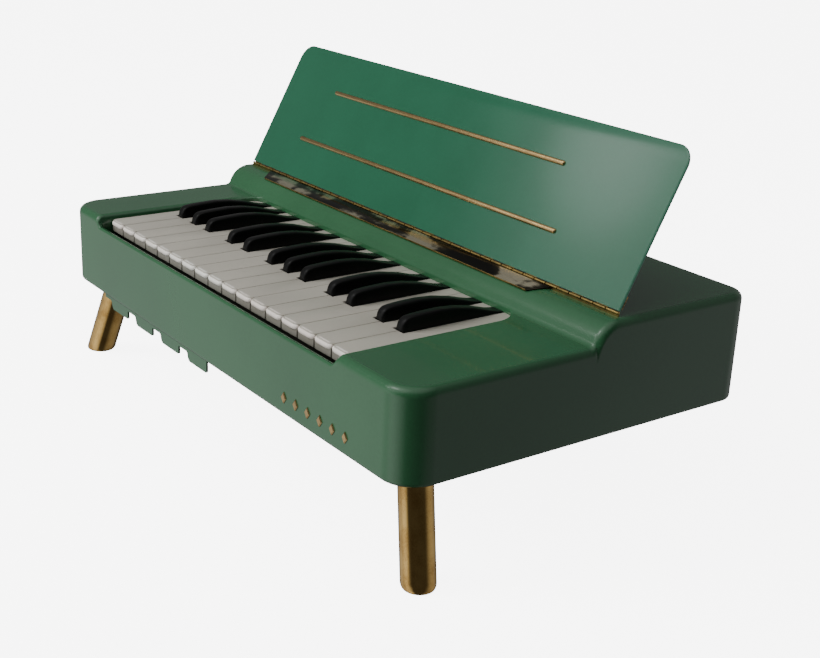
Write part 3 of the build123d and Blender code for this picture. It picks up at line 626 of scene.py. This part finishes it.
def make_white_key(i):
    """White key number i, from 0: plate, bead, apron, body and tail, with a paler bead for a painted
    highlight and a darker apron for painted shade.
    """
    x0 = KEYS_X0 + i * PITCH + KEY_GAP / 2
    x1 = x0 + PITCH - KEY_GAP
    n0 = sharp_x[i - 1] + SHARP_HALF + 0.55 if i - 1 in sharp_x else x0
    n1 = sharp_x[i] - SHARP_HALF - 0.55 if i in sharp_x else x1
    points, faces = [], []
    take(key_plate(x0, x1, n0, n1), points, faces)
    bead_from = len(faces)
    add_bead(x0, x1, points, faces)
    apron_from = len(faces)
    apron = block(x0 + 0.35, LIP_Y + 1.6, x1 - 0.35, LIP_Y + 5.2, SKIRT_LOW, WHITE_Z - 2.4)
    soften(apron, [e for e in apron.edges if all(v.co.y < LIP_Y + 2 for v in e.verts)], 0.6)
    take(apron, points, faces)
    body_from = len(faces)
    take(block(x0 + 0.15, LIP_Y + 5.0, x1 - 0.15, NECK_Y - 0.2, KEY_LOW, WHITE_Z - 0.6), points, faces)
    take(block(n0 + 0.15, NECK_Y - 2, n1 - 0.15, TAIL_Y1, KEY_LOW, TAIL_Z), points, faces)
    label = f"white_key_{i + 1:02d}"
    key = mesh_piece(f"ivory_{i + 1:02d}", points, faces, label, ivory, (label,))
    # Bead faces get the paler ivory of the painted highlight, and apron faces get the darker ivory of the
    # painted shade.
    for mat, first, end in ((ivory_lip_painted_highlight, bead_from, apron_from), (ivory_apron_painted_shade, apron_from, body_from)):
        key.data.materials.append(mat)
        for face in key.data.polygons[first:end]:
            face.material_index = len(key.data.materials) - 1
    sharpen(key)


# profile of a black key: distance behind its nose, and height above the white keys
SHARP_YS = [0.0, 0.3, 0.8, 1.5, 2.6, 4.2, 6.5, 10, 18, 31, 44, 58, 68, 74, 79, 85.5]
SHARP_ZS = [1.5, 3.0, 4.4, 5.7, 7.1, 8.2, 8.8, 9.15, 9.6, 9.95, 9.0, 6.5, 3.7, 2.0, 0.9, 0.2]
SHARP_STATIONS = [0.0, 0.1, 0.3, 0.55, 0.85, 1.25, 1.7, 2.3, 3.0, 3.8, 5, 7, *np.linspace(9.5, 85, 30)]
SHARP_ROUND = 4.6                                                 # length of the rounding behind the nose


def sharp_section(t):
    """Right half of a black key's cross-section, t behind its nose: (x, z) from the bottom up."""
    high = float(np.interp(t, SHARP_YS, SHARP_ZS))
    along = min(t, SHARP_ROUND) / SHARP_ROUND
    round_in = 3.1 * (1 - math.sqrt(max(0.0, 1 - (1 - along) ** 2)))
    foot = SHARP_HALF - 0.1 - 0.8 * round_in
    crown = SHARP_HALF - 0.1 - 1.5 * min(1.0, high / 8.0) - round_in
    radius = max(0.15, min(2.0, 0.7 * high))
    top = WHITE_Z + high
    side = [(foot, KEY_LOW), (foot, WHITE_Z - 1.0), (foot - 0.05, WHITE_Z + 0.15)]
    for a in np.linspace(0, math.pi / 2, 7):
        side.append((crown - radius + radius * math.cos(a), top - radius + radius * math.sin(a)))
    side.append(((crown - radius) * 0.5, top + 0.12 * min(1, high / 4)))
    return side


def make_black_key(n, x):
    """Black key number n, from 0, over x: lofted from a steep nose over a low crest, with its tail."""
    points, faces = [], []
    for t in SHARP_STATIONS:
        side = sharp_section(t)
        loop = [(x + sx, sz) for sx, sz in side] + [(x - sx, sz) for sx, sz in side[::-1]]
        points.extend((px, NOSE_Y + t, pz) for px, pz in loop)
    sleeve(0, len(SHARP_STATIONS), len(loop), faces)
    end_caps(0, len(SHARP_STATIONS), len(loop), faces)
    take(block(x - 4.9, FRONT + 144, x + 4.9, TAIL_Y1, KEY_LOW, TAIL_Z), points, faces)
    label = f"black_key_{n + 1:02d}"
    sharpen(mesh_piece(f"ebony_{n + 1:02d}", points, faces, label, ebony, (label,)), 50)


for i in range(len(NOTES)):
    make_white_key(i)
for n, x in enumerate(sharp_x.values()):
    make_black_key(n, x)


# ---- ledge ---------------------------------------------------------------------------------------
def on_ledge(local):
    """Places points given as (x, back from the ledge's rear edge, above its face)."""
    local = np.array(local)
    return np.stack([local[:, 0], LEDGE_Y + local[:, 1] * LEDGE_COS - local[:, 2] * LEDGE_SIN,
                     BASE + LEDGE_Z + local[:, 1] * LEDGE_SIN + local[:, 2] * LEDGE_COS], 1)


def make_ledge():
    """The ledge plate with its cut-off front corners."""
    front_x0, front_x1 = LEDGE_X0 + LEDGE_CUT, LEDGE_X1 - LEDGE_CUT
    bm = prism([(front_x0, -LEDGE_DEEP), (front_x1, -LEDGE_DEEP), (LEDGE_X1, 0), (LEDGE_X0, 0)], -0.9, 0)
    soften(bm, upright_edges(bm, 0.5), 1.4, 4)
    soften(bm, [e for e in bm.edges if all(v.co.z > -0.01 for v in e.verts)], 0.3)
    points, faces = [], []
    take(bm, points, faces)
    plate = mesh_piece("ledge_plate", on_ledge(points), faces, "case", ledge_brass, ("music_ledge",))
    sharpen(plate, 30)


def make_ledge_lip():
    """The thin lip along the ledge's front edge."""
    x0, x1 = LEDGE_X0 + LEDGE_CUT + 0.6, LEDGE_X1 - LEDGE_CUT - 0.6
    bm = block(x0, -LEDGE_DEEP - 0.05, x1, -LEDGE_DEEP + 0.5, -1.4, 0.05)
    soften(bm, long_edges(bm), 0.25)
    points, faces = [], []
    take(bm, points, faces)
    sharpen(mesh_piece("ledge_lip", on_ledge(points), faces, "case", brass_hinge_darkened_for_shade), 50)


make_ledge()
make_ledge_lip()


# ---- music rest and its strips -------------------------------------------------------------------
REST_HALF_X, REST_LOW, REST_LONG, REST_R, SHEET_HALF = 230, 1.5, 114, 13.0, 1.1
STRIP_X, STRIP_R, STRIP_SIDES = -13.0, 1.9, 13


def on_rest(x, along, off):
    """A point on the open music rest: along it from the hinge, and out from its hinge plane."""
    return (x, HINGE_Y + along * math.cos(LEAN) - off * math.sin(LEAN),
            HINGE_Z + along * math.sin(LEAN) + off * math.cos(LEAN))


def make_rest():
    """The sheet of the music rest, with a paler material on its rim as a painted highlight."""
    bm = block(-REST_HALF_X, REST_LOW, REST_HALF_X, REST_LONG, -SHEET_HALF, SHEET_HALF)
    soften(bm, [e for e in upright_edges(bm, 1) if e.verts[0].co.y > 100], REST_R, 14)
    rim = [e for e in bm.edges if e.calc_face_angle(0) > 1 and max(v.co.y for v in e.verts) > 3]
    soften(bm, rim, 0.95, 5)
    points, faces = [], []
    take(bm, points, faces)
    points = [on_rest(*p) for p in points]
    sheet = mesh_piece("rest_sheet", points, faces, "rest", green_lid, ("music_rest",))
    sharpen(sheet, 40)
    sheet.data.materials.append(rest_rim_painted_highlight)
    # The rim faces get the paler green of the painted highlight.
    across = Vector((0, -math.sin(LEAN), math.cos(LEAN)))
    for face in sheet.data.polygons:
        if abs(face.normal.dot(across)) < 0.75:
            face.material_index = 1


def make_strip(name, along, length):
    """A half-round strip with rounded ends, lying along the rest."""
    points, faces = [], []
    ends = [(STRIP_R * (1 + r) - length / 2, math.sqrt(max(0.0004, 1 - r * r)))
            for r in (-1, -0.97, -0.9, -0.78, -0.6, -0.35, 0)]
    stations = ends + [(-p, share) for p, share in ends[::-1]]
    for p, share in stations:
        for a in np.linspace(0, math.pi, STRIP_SIDES):
            points.append(on_rest(STRIP_X + p, along + STRIP_R * share * math.cos(a),
                                  SHEET_HALF + STRIP_R * share * math.sin(a)))
    for k in range(len(stations) - 1):
        first, last = k * STRIP_SIDES, k * STRIP_SIDES + STRIP_SIDES - 1
        for a in range(first, last):
            faces.append((a, a + 1, a + 1 + STRIP_SIDES, a + STRIP_SIDES))
        faces.append((last, first, first + STRIP_SIDES, last + STRIP_SIDES))
    faces.append(list(range(STRIP_SIDES))[::-1])
    faces.append([(len(stations) - 1) * STRIP_SIDES + m for m in range(STRIP_SIDES)])
    sharpen(mesh_piece(f"bar_{name}", points, faces, "rest", brass_strip, (f"rest_{name}",)), 60)


make_rest()
make_strip("strip_lower", 34.4, 325.7)
make_strip("strip_upper", 80.0, 286.6)


# ---- plain brass studs on the front --------------------------------------------------------------
STUDS, STUD_X0, STUD_PITCH, STUD_Z = 6, HALF_X - 132.0, 14.3, BASE + 13.1


def make_studs():
    """Lozenge studs in a row, each bevelled from a straight edge to a low top."""
    points, faces = [], []
    for k in range(STUDS):
        x, base = STUD_X0 + STUD_PITCH * k, len(points)
        for y, wide, tall in ((FRONT, 3.0, 4.0), (FRONT - 0.45, 3.0, 4.0), (FRONT - 0.98, 2.2, 3.1)):
            for side, up in ((-1, 0), (0, -1), (1, 0), (0, 1)):
                points.append((x + wide * side, y, STUD_Z + tall * up))
        points.append((x, FRONT - 0.99, STUD_Z))
        for level in (0, 4):
            for m in range(4):
                a, b = base + level + m, base + level + (m + 1) % 4
                faces.append((a, b, b + 4, a + 4))
        for m in range(4):
            faces.append((base + 8 + m, base + 8 + (m + 1) % 4, base + 12))
        faces.append((base + 3, base + 2, base + 1, base))
    mesh_piece("front_studs", points, faces, "case", brass_strip, ("front_trim",), smooth=False)


make_studs()


# ---- legs: polished tubes with a rolled foot -----------------------------------------------------
LEG_R, LEG_SIDES = 11.25, 64
LEG_ROLL = [(0.0, 2.2), (0.12, 1.5), (0.45, 0.9), (1.0, 0.5), (1.7, 0.22), (2.6, 0.0)]    # height, inset
FRONT_LEG_TOP, FRONT_LEG_FOOT = (208.3, -113.25), (231.4, -124.05)
REAR_LEG_TOP, REAR_LEG_FOOT = (0.0, 105.25), (0.0, 129.25)


def make_leg(name, top, foot):
    """A tube from the underside of the case at top down to foot on the ground, both as (x, y)."""
    top, foot = np.array((*top, BASE)), np.array((*foot, 0.0))
    axis = (foot - top) / np.linalg.norm(foot - top)
    side_x = np.cross(axis, (0, 1, 0))
    side_x /= np.linalg.norm(side_x)
    side_y = np.cross(axis, side_x)
    levels = LEG_ROLL + [(z, 0.0) for z in np.linspace(6, BASE - 0.05, 10)]
    points, faces = [], []
    for z, inset in levels:
        for a in np.linspace(0, 2 * math.pi, LEG_SIDES, endpoint=False):
            start = top + (LEG_R - inset) * (math.cos(a) * side_x + math.sin(a) * side_y)
            points.append(start + (z - start[2]) / axis[2] * axis)
    sleeve(0, len(levels), LEG_SIDES, faces)
    end_caps(0, len(levels), LEG_SIDES, faces)
    sharpen(mesh_piece(f"tube_{name}", points, faces, "case", brass, (f"leg_{name}",)), 60)


make_leg("front_left", (-FRONT_LEG_TOP[0], FRONT_LEG_TOP[1]), (-FRONT_LEG_FOOT[0], FRONT_LEG_FOOT[1]))
make_leg("front_right", FRONT_LEG_TOP, FRONT_LEG_FOOT)
make_leg("rear", REAR_LEG_TOP, REAR_LEG_FOOT)


# ---- hinge: slim knuckles on a pin, one leaf behind the rest and one strip on the case -----------
KNUCKLES, KNUCKLE, KNUCKLE_R, KNUCKLE_SIDES = 40, 11.5, 1.1, 14
HINGE_X0, LEAF_HALF_X, PIN_HALF_X, PIN_R = -230, 229.8, 229.9, 0.45


def knuckle_row(first, points, faces):
    """Every second knuckle of the hinge, slightly rounded at its ends."""
    for k in range(first, KNUCKLES, 2):
        x, base = HINGE_X0 + k * KNUCKLE, len(points)
        end = x + KNUCKLE
        rings = [(x + 0.35, KNUCKLE_R - 0.35), (x + 0.5, KNUCKLE_R), (end - 0.5, KNUCKLE_R),
                 (end - 0.35, KNUCKLE_R - 0.35)]
        for ring_x, r in rings:
            for a in np.linspace(0, 2 * math.pi, KNUCKLE_SIDES, endpoint=False):
                points.append((ring_x, HINGE_Y + r * math.cos(a), HINGE_Z + r * math.sin(a)))
        sleeve(base, len(rings), KNUCKLE_SIDES, faces)
        end_caps(base, len(rings), KNUCKLE_SIDES, faces)


def make_rest_leaf():
    """The leaf behind the rest, with its knuckles and the webs that join them."""
    points, faces = [], []
    bm = block(-LEAF_HALF_X, 2.6, LEAF_HALF_X, 12.0, -1.7, -1.15)
    soften(bm, list(bm.edges), 0.15, 1)
    take(bm, points, faces)
    for k in range(0, KNUCKLES, 2):
        x = HINGE_X0 + k * KNUCKLE
        take(block(x + 0.5, 0.6, x + KNUCKLE - 0.5, 3.2, -1.65, -1.15), points, faces)
    points = [on_rest(*p) for p in points]
    knuckle_row(0, points, faces)
    half = mesh_piece("hinge_half_rest", points, faces, "rest", brass_hinge_darkened_for_shade, ("hinge_leaf_rest",))
    sharpen(half, 40)


def make_case_leaf():
    """The strip on the rear deck, with its knuckles and the pin through both rows."""
    points, faces = [], []
    knuckle_row(1, points, faces)
    # The strip is the case leaf of the hinge, and its dark brass, run unbroken under the knuckles, is also a
    # painted shadow line along them.
    strip_z = BASE + REAR_DECK - 0.3
    strip = block(-LEAF_HALF_X, HINGE_Y - 0.8, LEAF_HALF_X, HINGE_Y + 0.5, strip_z, HINGE_Z - 0.9)
    take(strip, points, faces)
    pin = block(-PIN_HALF_X, HINGE_Y - PIN_R, PIN_HALF_X, HINGE_Y + PIN_R, HINGE_Z - PIN_R, HINGE_Z + PIN_R)
    soften(pin, long_edges(pin), 0.25, 2)
    take(pin, points, faces)
    half = mesh_piece("hinge_half_case", points, faces, "case", brass_hinge_darkened_for_shade, ("hinge_leaf_case",))
    sharpen(half, 40)


make_rest_leaf()
make_case_leaf()

# ---- finishes of the CAD nodes, those that the pieces above replace among them -------------------
FINISHES = {
    green: ("case_top", "vent_comb"),
    green_lid: ("music_rest",),
    brass: ("music_ledge", "leg_front_left", "leg_front_right", "leg_rear"),
    brass_strip: ("rest_strip_lower", "rest_strip_upper", "front_trim"),
    brass_hinge_darkened_for_shade: ("hinge_leaf_rest", "hinge_leaf_case"),
    brass_dull: ("rest_strut", "strut_bracket", "reed_plates"),
    steel: ("base_screws", "leg_sockets", "key_pivot_rod", "key_springs", "blower_motor"),
    black_matt: ("blower_housing", "blower_fan", "mains_inlet", "switch_body", "switch_rocker"),
    rubber: ("air_duct",),
    fibre: ("base_plate", "wind_chest"),
    pine: ("key_rail",),
    stained_pine: ("key_stop_rail",),
    felt: ("key_stop_felt",),
    ivory: tuple(node for node in nodes if node.startswith("white_key")),
    ebony: tuple(node for node in nodes if node.startswith("black_key")),
}
for mat, painted in FINISHES.items():
    for node in painted:
        nodes[node].data.materials.clear()
        nodes[node].data.materials.append(mat)


# ---- stage ---------------------------------------------------------------------------------------
def make_floor(half=6):
    """A plain floor as pale as the background, left out of reflections and bounced light."""
    mat, _, shader = material("stage_floor")
    shader.inputs["Base Color"].default_value = (0.93, 0.93, 0.93, 1)
    shader.inputs["Roughness"].default_value = 0.95
    shader.inputs["Specular IOR Level"].default_value = 0.0
    shader.inputs["Emission Color"].default_value = (1, 1, 1, 1)
    shader.inputs["Emission Strength"].default_value = 6.5
    mesh = bpy.data.meshes.new("floor")
    corners = [(-half, -half, 0), (half, -half, 0), (half, half, 0), (-half, half, 0)]
    mesh.from_pydata(corners, [], [(0, 1, 2, 3)])
    mesh.materials.append(mat)
    floor = bpy.data.objects.new("floor", mesh)
    bpy.context.collection.objects.link(floor)
    floor.visible_diffuse = False
    floor.visible_glossy = False


make_floor()


# ---- studio --------------------------------------------------------------------------------------
def glow(tree, direction, towards, start, end, power):
    """A soft patch of the studio: brightness rising from start to end with the cosine to its middle."""
    dot = tree.nodes.new("ShaderNodeVectorMath")
    dot.operation = "DOT_PRODUCT"
    tree.links.new(direction, dot.inputs[0])
    dot.inputs[1].default_value = Vector(towards).normalized()
    step = tree.nodes.new("ShaderNodeMapRange")
    step.interpolation_type = "SMOOTHSTEP"
    for key, value in (("From Min", start), ("From Max", end), ("To Min", 0.0), ("To Max", power)):
        step.inputs[key].default_value = value
    tree.links.new(dot.outputs["Value"], step.inputs["Value"])
    return step.outputs["Result"]


STUDIO_DIM, BACKGROUND = 0.07, 8.0
PATCHES = [    # towards, start, end, power
    ((-0.25, -0.66, 0.71), 0.79, 0.93, 0.85),       # right half of the music rest
    ((-0.604, -0.611, 0.52), 0.9945, 1.0, 4.0),     # highlight near its right edge
    ((-0.50, -0.60, -0.60), 0.60, 0.96, 0.7),       # front wall, as a pale table would
    ((0.0, -0.9, -0.43), 0.86, 1.0, 0.7),           # front right corner
    ((0.0, -0.2, 1.0), 0.55, 1.0, 0.8),             # decks
    ((-0.95, -0.2, 0.2), 0.4, 1.0, 0.15),           # left side
    ((-0.45, -0.88, 0.12), 0.86, 1.0, 0.7),         # left half of the legs
    ((0.2, 0.95, 0.1), 0.5, 1.0, 0.27),             # right edge of the legs
    ((0.6, 0.6, -0.6), 0.6, 1.0, 0.3),              # right end of the case
    ((-0.66, 0.69, 0.3), 0.6, 1.0, 0.06),           # rear deck
    ((-0.35, -0.55, 0.75), 0.976, 0.992, 4.0),      # glints on rounded edges
]


def make_world():
    """A studio of soft patches for the object, behind a plain pale background for the camera."""
    world = bpy.data.worlds.new("studio")
    bpy.context.scene.world = world
    world.use_nodes = True
    tree = world.node_tree
    backdrop = tree.nodes["Background"]
    studio = tree.nodes.new("ShaderNodeBackground")
    direction = tree.nodes.new("ShaderNodeTexCoord").outputs["Generated"]
    patches = [glow(tree, direction, *patch) for patch in PATCHES]
    total = patches[0]
    for patch in patches[1:]:
        total = maths(tree, "ADD", total, patch)
    tree.links.new(maths(tree, "ADD", total, STUDIO_DIM), studio.inputs["Strength"])
    backdrop.inputs["Color"].default_value = (1, 1, 1, 1)
    backdrop.inputs["Strength"].default_value = BACKGROUND
    seen = tree.nodes.new("ShaderNodeLightPath").outputs["Is Camera Ray"]
    choice = tree.nodes.new("ShaderNodeMixShader")
    tree.links.new(seen, choice.inputs["Fac"])
    tree.links.new(studio.outputs["Background"], choice.inputs[1])
    tree.links.new(backdrop.outputs["Background"], choice.inputs[2])
    tree.links.new(choice.outputs["Shader"], tree.nodes["World Output"].inputs["Surface"])


def area_light(name, place, size_x, size_y, power, aim=(0, 0, 0.1)):
    """A soft rectangular light that leaves no reflection of its own."""
    data = bpy.data.lights.new(name, "AREA")
    data.shape = "RECTANGLE"
    data.size, data.size_y = size_x, size_y
    data.energy = power
    light = bpy.data.objects.new(name, data)
    bpy.context.collection.objects.link(light)
    light.location = place
    light.rotation_mode = "QUATERNION"
    light.rotation_quaternion = (Vector(aim) - Vector(place)).to_track_quat("-Z", "Y")
    light.visible_glossy = False


make_world()
area_light("key_light", (-1.0, -1.8, 1.15), 1.2, 0.9, 42)
area_light("fill_light", (0.3, -2.0, 0.5), 1.0, 0.6, 7)
